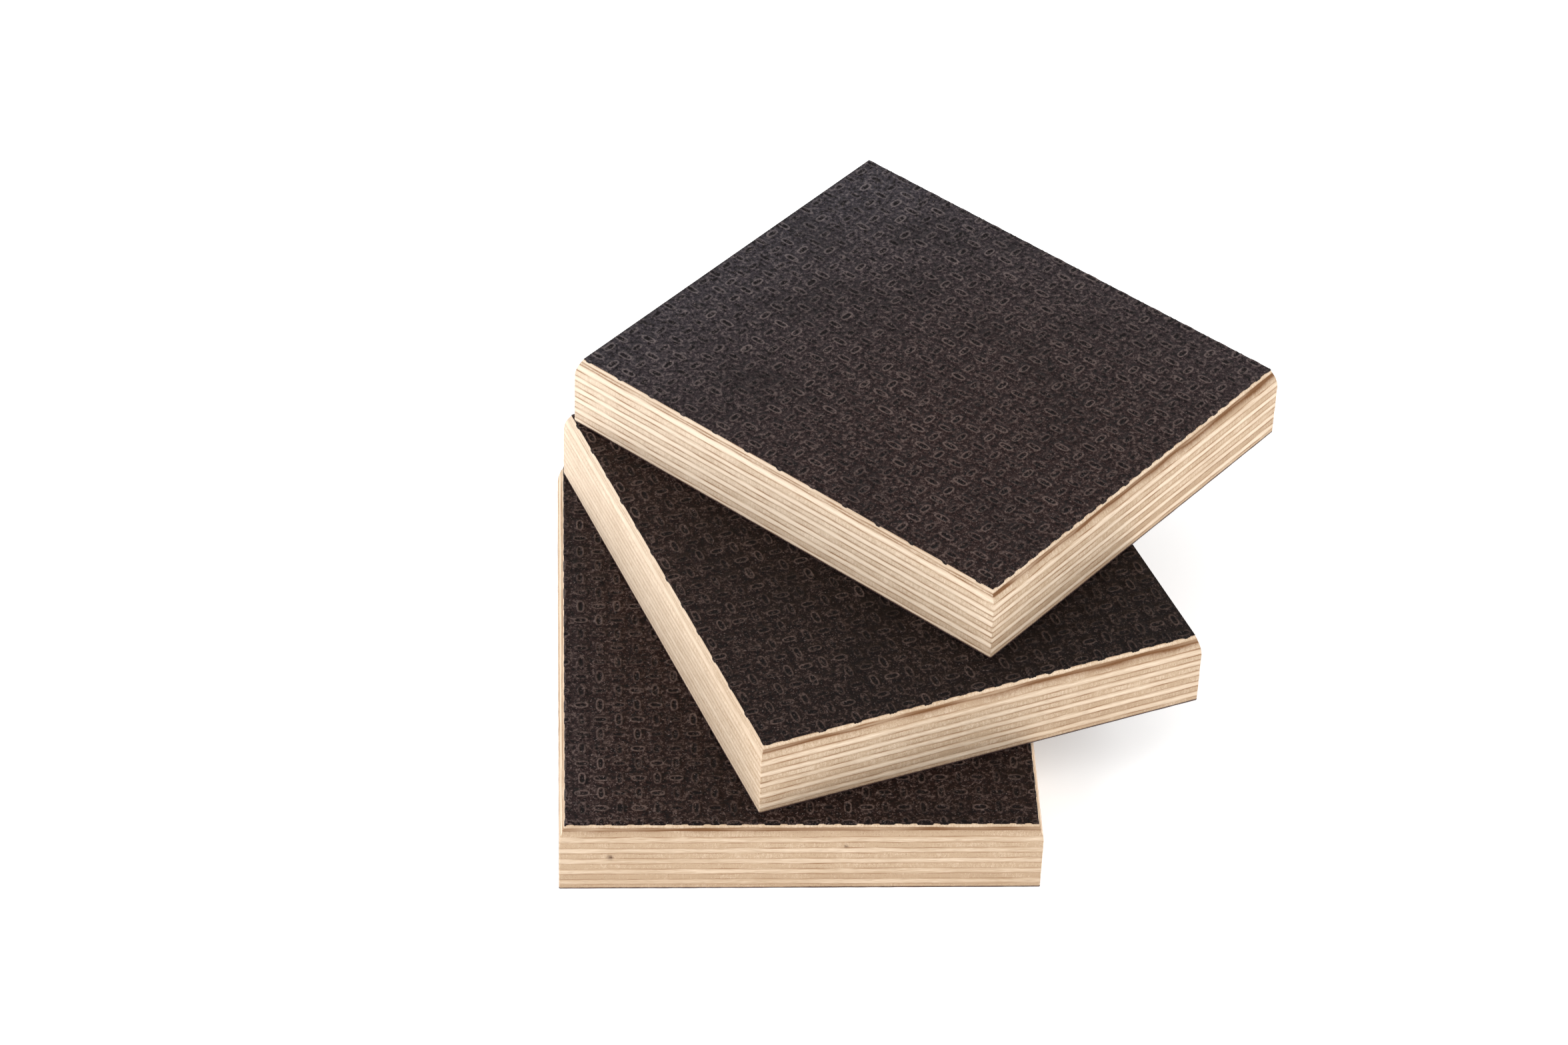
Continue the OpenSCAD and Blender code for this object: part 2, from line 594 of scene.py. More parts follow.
@dataclass(frozen=True)
class SheetPlace:
    """Where a sheet lies, and its half width and half length at each height."""

    name: str
    centre: Array
    turn: float
    levels: Array
    half_widths: Array
    half_lengths: Array

    @classmethod
    def read(cls, name: str) -> "SheetPlace":
        """Read a sheet's place and outline from its layers.

        The middle of the bottom film's box is the sheet's centre. Two neighbouring corners of that
        rectangle, as arms from the centre, add and subtract to its two sides, and the shorter side
        gives the width's direction.

        Args:
            name: The sheet's name, which its layers' names start with.

        Returns:
            The sheet's place.
        """
        plan = node_points(name + "_bottom_film")[:, :2]
        centre = (plan.min(0) + plan.max(0)) / 2
        arms = plan - centre
        crossed = np.abs(arms[0, 0] * arms[:, 1] - arms[0, 1] * arms[:, 0])
        neighbour = arms[np.argmax(crossed)]
        short = min(arms[0] - neighbour, arms[0] + neighbour, key=np.linalg.norm)
        width_way = short * math.copysign(1.0, short[0])
        turn = math.atan2(width_way[1], width_way[0])
        layers = [node for node in sorted(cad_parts) if node.startswith(name + "_")]
        points = np.concatenate([node_points(layer) for layer in layers])
        local = (points[:, :2] - centre) @ cls._turned(turn)
        levels, which = np.unique(np.round(points[:, 2], 3), return_inverse=True)
        halves = np.zeros((len(levels), 2))
        np.maximum.at(halves, which.ravel(), np.abs(local))
        return cls(name, centre, turn, levels, halves[:, 0], halves[:, 1])

    @property
    def reach(self) -> Array:
        """Greatest half width and half length."""
        return np.array([self.half_widths.max(), self.half_lengths.max()])

    @staticmethod
    def _turned(turn: float) -> Array:
        """Matrix that takes a row vector of the stack into a sheet turned by this angle."""
        return np.array([[math.cos(turn), -math.sin(turn)], [math.sin(turn), math.cos(turn)]])

    def to_stack(self, local: Array) -> Array:
        """Take points from the sheet's own width, length and height into the stack."""
        plan = local[:, :2] @ self._turned(self.turn).T + self.centre
        return np.column_stack([plan, local[:, 2]])

    def halves(self, heights: Array | float) -> tuple[Array, Array]:
        """Half width and half length at some heights, in straight lines from level to level.

        Args:
            heights: One height, or one for each point.

        Returns:
            The half widths and the half lengths.
        """
        wide = np.interp(heights, self.levels, self.half_widths)
        long = np.interp(heights, self.levels, self.half_lengths)
        return wide, long


@dataclass(frozen=True)
class WallWalk:
    """Upright columns round a sheet's walls, turning left as seen from above.

    Attributes:
        wall: The wall that each column is on, 0 to 3.
        share: How far along its wall each column is, -1 to 1.
        corner: Radius of the rounded upright corners.
    """

    wall: Array
    share: Array
    corner: float

    @classmethod
    def round_sheet(cls, place: SheetPlace, pitch: float, corner: float) -> "WallWalk":
        """Space the columns evenly on each wall, and closer in the rounded corners.

        Args:
            place: The sheet.
            pitch: Distance between columns.
            corner: Radius of the upright corners.

        Returns:
            The walk.
        """
        walls, shares = [], []
        for wall in range(WALLS):
            reach = place.reach[wall % 2]
            bend = corner * np.array([0.0, 1 / 3, 2 / 3])
            count = round(2 * (reach - corner) / pitch)
            straight = np.linspace(corner - reach, reach - corner, count + 1)
            along = np.concatenate([bend - reach, straight, reach - bend[:0:-1]])
            walls.append(np.full(len(along), wall))
            shares.append(along / reach)
        return cls(np.concatenate(walls), np.concatenate(shares), corner)

    def ring(self, place: SheetPlace, height: Array | float, inset: Array | float = 0.0) -> Array:
        """Points of the wall at a height, in the sheet's own directions.

        A column's point is its travel along the wall plus the wall's distance out, less the inset.
        Within a corner radius of the end the point follows a circle, up to an eighth of a turn.

        Args:
            place: The sheet.
            height: Height of the ring, or of each of its columns.
            inset: How far the point lies inside the wall.

        Returns:
            One point for each column.
        """
        wide, long = place.halves(height)
        across = self.wall % 2 == 1
        reach = np.where(across, long, wide) - inset
        out = np.where(across, wide, long) - inset
        travel = self.share * reach
        from_end = reach - np.abs(travel)
        angle = np.pi / 4 * np.clip(1 - from_end / self.corner, 0, 1)
        in_bend = from_end < self.corner
        bent = np.sign(travel) * (reach - self.corner * (1 - np.sin(angle)))
        travel = np.where(in_bend, bent, travel)
        out = out - self.corner * (1 - np.cos(angle))
        plan = TRAVEL[self.wall] * travel[:, None] + OUTWARD[self.wall] * out[:, None]
        return np.column_stack([plan, np.broadcast_to(height, travel.shape)])

    def turns(self, place: SheetPlace) -> Array:
        """How far round the sheet each column is.

        Args:
            place: The sheet.

        Returns:
            The distance walked to each column, as an angle that closes on itself.
        """
        width, length = 2 * place.reach
        start = np.array([0.0, width, width + length, 2 * width + length])[self.wall]
        reach = place.reach[self.wall % 2]
        return FULL_TURN * (start + (self.share + 1) * reach) / (2 * (width + length))


def ripple(turns: Array, waves: Span, rng: np.random.Generator, count: int = 6) -> Array:
    """Smooth unevenness along the walls.

    It is a sum of sine waves, each with a whole number of waves round the sheet and a phase of its
    own, divided so that its usual size is one.

    Args:
        turns: How far round the sheet each column is, as an angle.
        waves: Fewest and most waves round the sheet.
        rng: Where the waves' numbers and phases come from.
        count: How many waves are added.

    Returns:
        The unevenness of each column.
    """
    numbers = rng.integers(waves[0], waves[1] + 1, count)
    phases = rng.uniform(0, FULL_TURN, count)
    return np.sin(turns[:, None] * numbers + phases).sum(1) / math.sqrt(count / 2)


# ---------------------------------------------------------------- veneers


@dataclass(frozen=True)
class Knot:
    """A pin knot on a sheet's front end.

    Attributes:
        across: How far right of the end's middle it lies.
        height: How far above the sheet's foot it lies.
        size: Its radius, and depth how deep its pit is.
    """

    across: float
    height: float
    size: float
    depth: float


@dataclass(frozen=True)
class EdgeLook:
    """What a sheet's sawn edges show.

    Attributes:
        bleed: How much of the second veneer's brown reaches the third, at the left and right of an
            end.
        tone: How much brighter each wall is painted than usual: painted light and shade for how the lamps
            fall on it.
        plain: How far each wall's lines are flattened towards an even brightness, from 0, crisp, to 1,
        without lines; on the middle sheet's left side this is painted washout by strong light.
        bleach: How far each wall is painted washed out by strong light at its start; little of it is left
            at its end.
        knots: Its pin knots.
    """

    bleed: tuple[float, float] = (0.2, 0.2)
    tone: PerWall = (0.0, 0.0, 0.0, 0.0)
    plain: PerWall = (0.0, 0.0, 0.0, 0.0)
    bleach: PerWall = (0.0, 0.0, 0.0, 0.0)
    knots: tuple[Knot, ...] = ()


@dataclass(frozen=True)
class WoodTones:
    """Brightness and brown stain of a sheet's edges, 0 to 1. A pair is for its ends and its sides.

    Attributes:
        side_grain: Brightness of a veneer cut along its fibres.
        end_grain: Brightness of one cut across them.
        low_count: How many of the lowest veneers have darker end grain.
        low_drop: How much darker that end grain is, and low_stain how brown.
        face: Brightness of the face veneer, on the ends partly its slanting cut and partly painted light
        on its upward-facing ease; second is that of the veneer below it.
        brown: Stain at the foot of the second veneer, and brown_fade the share lost at its top.
        side_bleed: Stain that the third veneer takes up on the sheet's sides.
        bleed_power: How fast that stain dies away from the top of the veneer down.
        change: How much one veneer differs from the next, and drift how much each changes on its way.
        drift_waves: Waves of that change.
        stain_drift: How much the stain changes on its way, and stain_waves the waves of it.
        stain_flattening: Share of the stain that a wall's plain setting takes away.
    """

    side_grain: float = 0.85
    end_grain: float = 0.24
    low_count: int = 3
    low_drop: float = 0.14
    low_stain: float = 0.1
    face: tuple[float, float] = (0.72, 0.45)
    second: tuple[float, float] = (0.3, 0.4)
    brown: tuple[float, float] = (1.0, 0.12)
    brown_fade: float = 0.45
    side_bleed: float = 0.05
    bleed_power: float = 1.5
    change: float = 0.05
    drift: float = 0.07
    drift_waves: Span = (2, 14)
    stain_drift: float = 0.3
    stain_waves: Span = (4, 40)
    stain_flattening: float = 0.7


@dataclass(frozen=True)
class Veneer:
    """One birch veneer of a sheet, with its sawn and sanded edge.

    Attributes:
        rows: Heights of the rings of its wall, from 1 at the joint above to 0 at the one below.
        groove: Usual depth of the groove at a glue joint, and groove_waves how often it changes.
        wander: How far a joint strays up and down, and wander_waves how often.
        set_back: The most that one veneer lies further in than the next.
        waviness: Size of the slow waves of its edge, and edge_waves how many there are.
        end_grain: Roughness of a cut across the fibres; side_grain is that along them.
        glue_waves: How often the glue line grows stronger and weaker.
        grain_shift: How far from the middle of one endless wood each veneer's grain is taken.
        tones: Its sheet's brightness and stain.
    """

    place: SheetPlace
    walk: WallWalk
    look: EdgeLook
    number: int
    count: int
    rows: tuple[float, ...] = (1.0, 0.86, 0.5, 0.14, 0.0)
    groove: float = 0.035
    groove_waves: Span = (60, 400)
    wander: float = 0.07
    wander_waves: Span = (3, 40)
    set_back: float = 0.03
    waviness: float = 0.012
    edge_waves: Span = (3, 20)
    end_grain: float = 0.014
    side_grain: float = 0.005
    glue_waves: Span = (4, 60)
    grain_shift: float = 500.0
    tones: WoodTones = WoodTones()

    @property
    def node(self) -> str:
        """Name of the veneer's construction layer."""
        return f"{self.place.name}_ply_{self.number:02d}"

    @property
    def grain(self) -> Grain:
        """Odd veneers, counted from the upper face, have their fibres along the sheet."""
        return Grain.LONG if self.number % 2 else Grain.CROSS

    def _per_wall(self, values: PerWall) -> Array:
        """Give each column the value of its wall."""
        return np.array(values)[self.walk.wall]

    def _joint(self, number: int, turns: Array) -> tuple[Array, Array]:
        """Depth and wander of the glue joint below a veneer, the same for both its neighbours.

        Args:
            number: The veneer above the joint.
            turns: How far round the sheet each column is, as an angle.

        Returns:
            The groove's depth, and how far the joint lies above its true height.
        """
        rng = random_of(self.place.name, Draw.JOINT, number)
        depth = self.groove * (1 + 0.5 * np.tanh(ripple(turns, self.groove_waves, rng)))
        inner = 0 < number < self.count
        stray = np.tanh(0.6 * ripple(turns, self.wander_waves, rng, 10))
        return depth, self.wander * inner * stray

    def build(self) -> Shell:
        """Build the veneer as a closed slab.

        Each row of its wall lies inside the true wall by the veneer's set-back, a slow waviness and
        the roughness of its cut, and at the glue joints by the groove that both neighbours share.

        Returns:
            The slab, with the values that its finish reads.
        """
        rng = random_of(self.place.name, Draw.CUT, self.number)
        turns = self.walk.turns(self.place)
        low, high = layer_heights(self.node)
        end_cut = (self.walk.wall % 2 == 0) == (self.grain is Grain.LONG)
        cut = np.where(end_cut, self.end_grain, self.side_grain)
        base = self.set_back * rng.uniform(0, 1)
        base = base + self.waviness * (1 + np.tanh(ripple(turns, self.edge_waves, rng)))
        above, below = self._joint(self.number - 1, turns), self._joint(self.number, turns)
        rings = []
        for row in self.rows:
            rough = cut * (1 + np.tanh(rng.standard_normal(len(turns))))
            groove = {1.0: above[0], 0.0: below[0]}.get(row, 0.0)
            height = low + below[1] + row * (high + above[1] - low - below[1])
            pit = self._knot_share(height) * max([knot.depth for knot in self.look.knots], default=0.0)
            rings.append(self.walk.ring(self.place, height, base + rough + groove + pit))
        points, faces = slab(rings, low, high)
        return Shell(self.place.to_stack(points), faces, self._values(points, end_cut, rng))

    def _knot_share(self, height: Array) -> Array:
        """How deep in a pin knot each column is: a bell curve about each knot.

        Args:
            height: Height of each column's point.

        Returns:
            The share, 0 to 1.
        """
        share = np.zeros(len(self.walk.share))
        foot = self.place.levels.min()
        for knot in self.look.knots:
            across = self.walk.share * self.place.reach[0] - knot.across
            away = np.hypot(across, height - foot - knot.height) / knot.size
            share = np.maximum(share, np.where(self.walk.wall == 0, np.exp(-away ** 2), 0.0))
        return share

    def _values(self, points: Array, end_cut: Array, rng: np.random.Generator) -> dict[str, Array]:
        """Work out what the finish reads at each point of the slab.

        Args:
            points: The slab's points in the sheet's own directions.
            end_cut: Whether each column crosses the fibres.
            rng: The veneer's random numbers.

        Returns:
            The carried values by name.
        """
        turns = self.walk.turns(self.place)
        size, rows = len(turns), np.array(self.rows)
        heights = points[:-2, 2].reshape(-1, size)
        thickness = points[-2, 2] - points[-1, 2]
        order = [1, 0, 2] if self.grain is Grain.LONG else [0, 1, 2]
        shade, stain = self._tones(turns, end_cut, rng)
        crisp = 1 - self._per_wall(self.look.plain)
        joint = np.clip(crisp * (0.6 + 0.35 * ripple(turns, self.glue_waves, rng)), 0, 1)
        # Painted washout of strong light, strongest at the start of a wall.
        bleach = self._per_wall(self.look.bleach) * (0.58 - 0.42 * self.walk.share)
        knots = np.concatenate([self._knot_share(row) for row in heights])
        whole = {
            "glue_gap": np.repeat(thickness * np.minimum(rows, 1 - rows), size),
            "end_cut": np.tile(end_cut.astype(float), len(rows)),
            "shade": np.tile(shade, len(rows)),
            "stain": stain.ravel(),
            "joint": np.tile(joint, len(rows)),
            "knot": knots,
            "bleach": np.tile(bleach, len(rows)),
        }
        values = {name: np.append(value, [0.0, 0.0]) for name, value in whole.items()}
        shift = rng.uniform(-self.grain_shift, self.grain_shift, 3)
        return {"fibre": points[:, order] + shift, **values}

    def _tones(self, turns: Array, end_cut: Array, rng: np.random.Generator) -> tuple[Array, Array]:
        """Brightness of each column, and brown stain of each row and column.

        Side grain is bright and end grain is dull. The two upper veneers differ: on the sheet's
        ends the face veneer is bright and the one below it is brown, and on its sides both are dull.
        The brown also bleeds into the top of the third veneer.

        Args:
            turns: How far round the sheet each column is, as an angle.
            end_cut: Whether each column crosses the fibres.
            rng: The veneer's random numbers.

        Returns:
            Brightness and stain, 0 to 1.
        """
        tones = self.tones
        rows = np.array(self.rows)[:, None]
        on_end = self.walk.wall % 2 == 0
        low = self.number > self.count - tones.low_count
        shade = np.where(end_cut, tones.end_grain - tones.low_drop * low, tones.side_grain)
        stain = np.zeros((len(self.rows), len(turns)))
        stain += tones.low_stain * low * end_cut
        # On the ends the face veneer is painted bright: partly its slanting cut, partly painted light on
        # its upward-facing ease.
        if self.number == 1:
            shade = np.where(on_end, *tones.face)
        if self.number == 2:
            shade = np.where(on_end, *tones.second)
            stain += np.where(on_end, *tones.brown) * (1 - tones.brown_fade * rows)
        if self.number == 3:
            left, right = self.look.bleed
            spread = left + (right - left) * (self.walk.share + 1) / 2
            stain += np.where(on_end, spread, tones.side_bleed) * rows ** tones.bleed_power
        shade = shade + tones.change * rng.standard_normal()
        shade = shade + tones.drift * ripple(turns, tones.drift_waves, rng)
        # Walls flattened towards an even brightness lose their lines; on the middle sheet's left side this
        # paints washout by strong light.
        plain = self._per_wall(self.look.plain)
        # Each wall's painted light and shade, as a brightness offset.
        shade = shade + plain * (0.5 - shade) + self._per_wall(self.look.tone)
        stain = stain * (1 + tones.stain_drift * ripple(turns, tones.stain_waves, rng))
        return shade, np.clip(stain * (1 - tones.stain_flattening * plain), 0, 1)


# ---------------------------------------------------------------- films


@dataclass(frozen=True)
class Emboss:
    """The anti-slip pattern: a chequerboard of raised ovals, one long way and then the other.

    Attributes:
        cell: Width and length of a cell of the chequerboard.
        start: Where a corner of the chequerboard lies, from the sheet's centre.
        tall: Half width and half length of the ovals that lie along the sheet.
        wide: The same for the ovals that lie across it.
        ground: Depth of the ground below the crests.
        slit: Depth of an oval's slit below the crests.
        spokes: Points on each ring.
        shares: Where the rings of an oval lie, from 0 at its slit to 1 at its foot.
        rises: Height of the middle and of each ring: -1 in the slit, 0 on the ground, 1 on a crest.
        slit_shares: The slit's size against the oval's, across the oval and along it.
        roundness: The power that squares the ovals; 1 leaves them round.
        size_spread: Smallest and largest oval against the usual one.
        wear_power: The power that makes well worn ovals rarer.
        wear_depth: How much lower the least raised crests are.
    """

    start: tuple[float, float]
    cell: tuple[float, float] = (3.97, 4.54)
    tall: tuple[float, float] = (0.98, 2.02)
    wide: tuple[float, float] = (1.74, 1.0)
    ground: float = 0.17
    slit: float = 0.22
    spokes: int = 20
    shares: tuple[float, ...] = (0.0, 0.42, 0.72, 1.0)
    rises: tuple[float, ...] = (-1.0, -0.8, 0.75, 1.0, 0.0, 0.0)
    slit_shares: tuple[float, float] = (0.3, 0.55)
    roundness: float = 0.8
    size_spread: tuple[float, float] = (0.94, 1.04)
    wear_power: float = 1.3
    wear_depth: float = 0.28

    def tiles(self, place: SheetPlace, top: float, rng: np.random.Generator) -> tuple[Array, Array]:
        """Lay ovals over more than the whole sheet.

        Every cell has a fan about its middle, rings that follow the oval, and a ring on the cell's
        four sides that it shares with its neighbours. A ring's point is the oval's half sizes
        times the ring's share times the sine and cosine of a spoke's angle, each raised to a power
        below one, which squares the oval a little.

        Args:
            place: The sheet.
            top: Height of the crests.
            rng: Where each oval's wear and size come from.

        Returns:
            Points as width, length, height, rise and wear, and the triangles.
        """
        first = np.floor((-place.reach - self.start) / self.cell).astype(int) - 1
        last = np.ceil((place.reach - self.start) / self.cell).astype(int) + 1
        i, j = np.meshgrid(np.arange(first[0], last[0]), np.arange(first[1], last[1]), indexing="ij")
        i, j = i.ravel(), j.ravel()
        middle = np.stack([i + 0.5, j + 0.5], 1) * self.cell + self.start
        halves = np.where(((i + j) % 2 == 0)[:, None], self.tall, self.wide)
        halves = halves * rng.uniform(*self.size_spread, (len(i), 1))
        wear = rng.uniform(0, 1, len(i)) ** self.wear_power
        slit_share = np.where(halves < halves.max(1, keepdims=True), *self.slit_shares)
        angle = FULL_TURN * np.arange(self.spokes) / self.spokes - FULL_TURN / 8
        spoke = np.stack([np.cos(angle), np.sin(angle)], 1)
        spoke = np.sign(spoke) * np.abs(spoke) ** self.roundness
        rings = [middle[:, None, :]]
        for share in self.shares:
            size = halves * (slit_share + (1 - slit_share) * share)
            rings.append(middle[:, None, :] + size[:, None, :] * spoke[None])
        side = self._cell_side()
        rings.append(middle[:, None, :] + side[None] * np.array(self.cell) / 2)
        rise = np.concatenate([np.full(r.shape[:2], v) for r, v in zip(rings, self.rises)], 1)
        plan = np.concatenate(rings, 1)
        per_cell = plan.shape[1]
        strength = (1 - self.wear_depth * (1 - wear))[:, None]
        depth = np.where(rise < 0, self.ground - rise * (self.slit - self.ground),
                         self.ground * (1 - rise * strength))
        worn = np.broadcast_to(wear[:, None], rise.shape)
        points = np.stack([plan[..., 0], plan[..., 1], top - depth, rise, worn], -1)
        return points.reshape(-1, 5), self._cell_faces(len(i), per_cell)

    def _cell_side(self) -> Array:
        """Spread points over the sides of a square, as many as there are spokes.

        Each side is walked from one corner up to the next, which starts the next side.

        Returns:
            The points, from -1 to 1 both ways.
        """
        quarter = self.spokes // 4
        run = 2 * np.arange(quarter) / quarter - 1
        one = np.ones(quarter)
        return np.concatenate([
            np.stack(pair, 1) for pair in ((one, run), (-run, one), (-one, -run), (run, -one))
        ])

    def _cell_faces(self, cells: int, per_cell: int) -> Array:
        """Join every cell's points: a fan about its middle, and bands from ring to ring.

        Args:
            cells: How many cells there are.
            per_cell: Points in each.

        Returns:
            The triangles.
        """
        rings = (per_cell - 1) // self.spokes
        numbers = 1 + np.arange(rings * self.spokes).reshape(rings, self.spokes)
        one = np.concatenate([lid(numbers[0], 0, True), *bands(numbers)])
        return (one[None] + per_cell * np.arange(cells)[:, None, None]).reshape(-1, 3)


def welded(points: Array, triangles: Array, reach: float = 1e-4) -> tuple[Array, Array]:
    """Make points that lie at one place into one point.

    Args:
        points: Rows whose first two numbers are the place in plan.
        triangles: Point numbers.
        reach: Size of the steps that places are rounded to.

    Returns:
        The points left, and the triangles on them.
    """
    keys = np.round(points[:, :2] / reach).astype(np.int64)
    _, keep, number = np.unique(keys, axis=0, return_index=True, return_inverse=True)
    return points[keep], number.ravel()[triangles]


def sawn(points: Array, triangles: Array, axis: int, sign: float, limit: float) -> tuple[Array, Array]:
    """Trim a surface at a straight cut.

    A triangle with one point inside keeps the tip there, and one with two keeps the four-sided
    rest as two triangles. A cut point lies on its edge where the straight line between the ends
    reaches the cut, and each edge is cut once.

    Args:
        points: Rows of places and carried values.
        triangles: Point numbers.
        axis: 0 to cut across the width, 1 across the length.
        sign: Which of the two sides is cut off.
        limit: Distance of the cut from the middle.

    Returns:
        The points in use, and the triangles.
    """
    spare = limit - sign * points[:, axis]
    inside = spare[triangles] >= 0
    kept = inside.sum(1)
    whole = triangles[kept == 3]
    turn = np.arange(3)
    tips = triangles[kept == 1]
    lead = inside[kept == 1].argmax(1)
    tips = np.take_along_axis(tips, (turn + lead[:, None]) % 3, 1)
    stumps = triangles[kept == 2]
    lead = (~inside[kept == 2]).argmax(1)
    stumps = np.take_along_axis(stumps, (turn + lead[:, None]) % 3, 1)
    edges = np.concatenate([tips[:, [0, 1]], tips[:, [0, 2]], stumps[:, [0, 1]], stumps[:, [0, 2]]])
    pairs, where = np.unique(np.sort(edges, 1), axis=0, return_inverse=True)
    start, end = pairs.T
    share = spare[start] / (spare[start] - spare[end])
    cuts = points[start] + share[:, None] * (points[end] - points[start])
    cuts[:, axis] = sign * limit
    where = where.ravel() + len(points)
    a, b, c, d = np.split(where, np.cumsum([len(tips), len(tips), len(stumps)]))
    new = [
        np.stack([tips[:, 0], a, b], 1),
        np.stack([c, stumps[:, 1], stumps[:, 2]], 1),
        np.stack([c, stumps[:, 2], d], 1),
    ]
    every = np.concatenate([points, cuts])
    faces = np.concatenate([whole, *new])
    used, faces = np.unique(faces, return_inverse=True)
    return every[used], faces.reshape(-1, 3)


@dataclass(frozen=True)
class AntiSlipFilm:
    """The embossed film on a sheet's upper face, with its ragged lower edge.

    Attributes:
        cool: How much painted bluish sheen lies on the resin, painted shade where it is below 0,
            and how much more painted sheen lies towards the left side, the right side and the back end.
        cool_power: How close to that side or end the painted sheen gathers.
        lip_drop: How far the lip hangs over the wood at the most worn oval.
        least_drop: Share of that at the least worn one.
        lip_proud: How far the lip stands off the wood.
        tuck: How far the lip's lower edge turns in under the film, and tuck_rise how far up.
        scallop: How quickly the lip drops at the side of an oval.
        lip_tone: The rise that the finish reads on the lip, which darkens it a little.
    """

    place: SheetPlace
    emboss: Emboss
    cool: PerWall
    cool_power: int = 3
    lip_drop: float = 0.35
    least_drop: float = 0.4
    lip_proud: float = 0.015
    tuck: float = 0.4
    tuck_rise: float = 0.02
    scallop: float = 3.0
    lip_tone: float = -0.3

    @property
    def node(self) -> str:
        """Name of the film's construction layer."""
        return self.place.name + "_top_film"

    def _round_order(self, points: Array, wide: float, long: float) -> Array:
        """Sort the points on the trimmed outline by their distance round it.

        Args:
            points: The trimmed surface's points.
            wide: Half width of the outline.
            long: Half length of the outline.

        Returns:
            Their numbers, turning left from the front left corner.
        """
        u, v = points[:, 0], points[:, 1]
        travel = np.select(
            [(v == -long) & (u < wide), (u == wide) & (v < long), (v == long) & (u > -wide), u == -wide],
            [u + wide, 2 * wide + v + long, 2 * wide + 2 * long + wide - u, 4 * wide + 2 * long + long - v],
            -1.0,
        )
        on_line = np.flatnonzero(travel >= 0)
        return on_line[np.argsort(travel[on_line])]

    def build(self) -> Shell:
        """Build the film: the embossed face, trimmed to the sheet, and a lip down its eased edge.

        The lip's lower edge hangs lower where the saw went through an oval, so it is scalloped.

        Returns:
            The closed film.
        """
        rng = random_of(self.place.name, Draw.EMBOSS)
        low, high = layer_heights(self.node)
        wide, long = (float(half) for half in self.place.halves(high))
        points, faces = self.emboss.tiles(self.place, high, rng)
        points, faces = welded(points, faces)
        for axis, limit in ((0, wide), (1, long)):
            points, faces = sawn(points, faces, axis, 1.0, limit)
            points, faces = sawn(points, faces, axis, -1.0, limit)
        rim = self._round_order(points, wide, long)
        edge = points[rim]
        cut_oval = np.clip(self.scallop * np.abs(edge[:, 3]), 0, 1)
        cut_oval = (np.roll(cut_oval, 1) + cut_oval + np.roll(cut_oval, -1)) / 3
        drop = self.least_drop + (1 - self.least_drop) * edge[:, 4]
        hang = low - self.lip_drop * cut_oval * drop
        rings = [
            self._at(edge, wide, long, (edge[:, 2] + low) / 2, self.lip_proud),
            self._at(edge, wide, long, hang, self.lip_proud),
            self._at(edge, wide, long, hang + self.tuck_rise, -self.tuck),
        ]
        numbers = [rim]
        for ring in rings:
            numbers.append(np.arange(len(rim)) + len(points))
            points = np.concatenate([points, ring])
        points = np.concatenate([points, [[0, 0, low, 0, 0]]])
        faces = np.concatenate([faces, *bands(numbers), lid(numbers[-1], len(points) - 1, False)])
        # Painted bluish sheen gathers towards the sides and the back end; below 0 the value is painted
        # shade.
        right, back = points[:, 0] / wide, points[:, 1] / long
        near = [((1 + way) / 2) ** self.cool_power for way in (-right, right, back)]
        cool = self.cool[0] + sum(more * share for more, share in zip(self.cool[1:], near))
        values = {"rise": points[:, 3], "wear": points[:, 4], "cool": np.clip(cool, -1, 1)}
        return Shell(self.place.to_stack(points[:, :3]), faces, values)

    def _at(self, edge: Array, wide: float, long: float, height: Array, proud: float) -> Array:
        """Carry the trimmed outline to another height on the eased wall.

        Args:
            edge: The outline's points and values.
            wide: Half width of the outline.
            long: Half length of the outline.
            height: New height of each point.
            proud: How far outside the wall the points lie.

        Returns:
            The moved points and their values.
        """
        new_wide, new_long = self.place.halves(height)
        moved = edge.copy()
        moved[:, 0] = edge[:, 0] / wide * (new_wide + proud)
        moved[:, 1] = edge[:, 1] / long * (new_long + proud)
        moved[:, 2] = height
        moved[:, 3] = self.lip_tone
        return moved


@dataclass(frozen=True)
class SmoothFilm:
    """The smooth film on a sheet's underside, with an edge that wanders by its waviness."""

    place: SheetPlace
    walk: WallWalk
    waviness: float = 0.02
    edge_waves: Span = (8, 90)

    @property
    def node(self) -> str:
        """Name of the film's construction layer."""
        return self.place.name + "_bottom_film"

    def build(self) -> Shell:
        """Build the film as a closed slab whose sawn edge wanders a little.

        Returns:
            The slab.
        """
        rng = random_of(self.place.name, Draw.TRIM)
        turns = self.walk.turns(self.place)
        low, high = layer_heights(self.node)
        inset = self.waviness * (1 + np.tanh(ripple(turns, self.edge_waves, rng)))
        rings = [self.walk.ring(self.place, height, inset) for height in (high, low)]
        points, faces = slab(rings, low, high)
        return Shell(self.place.to_stack(points), faces)


# ---------------------------------------------------------------- sheets


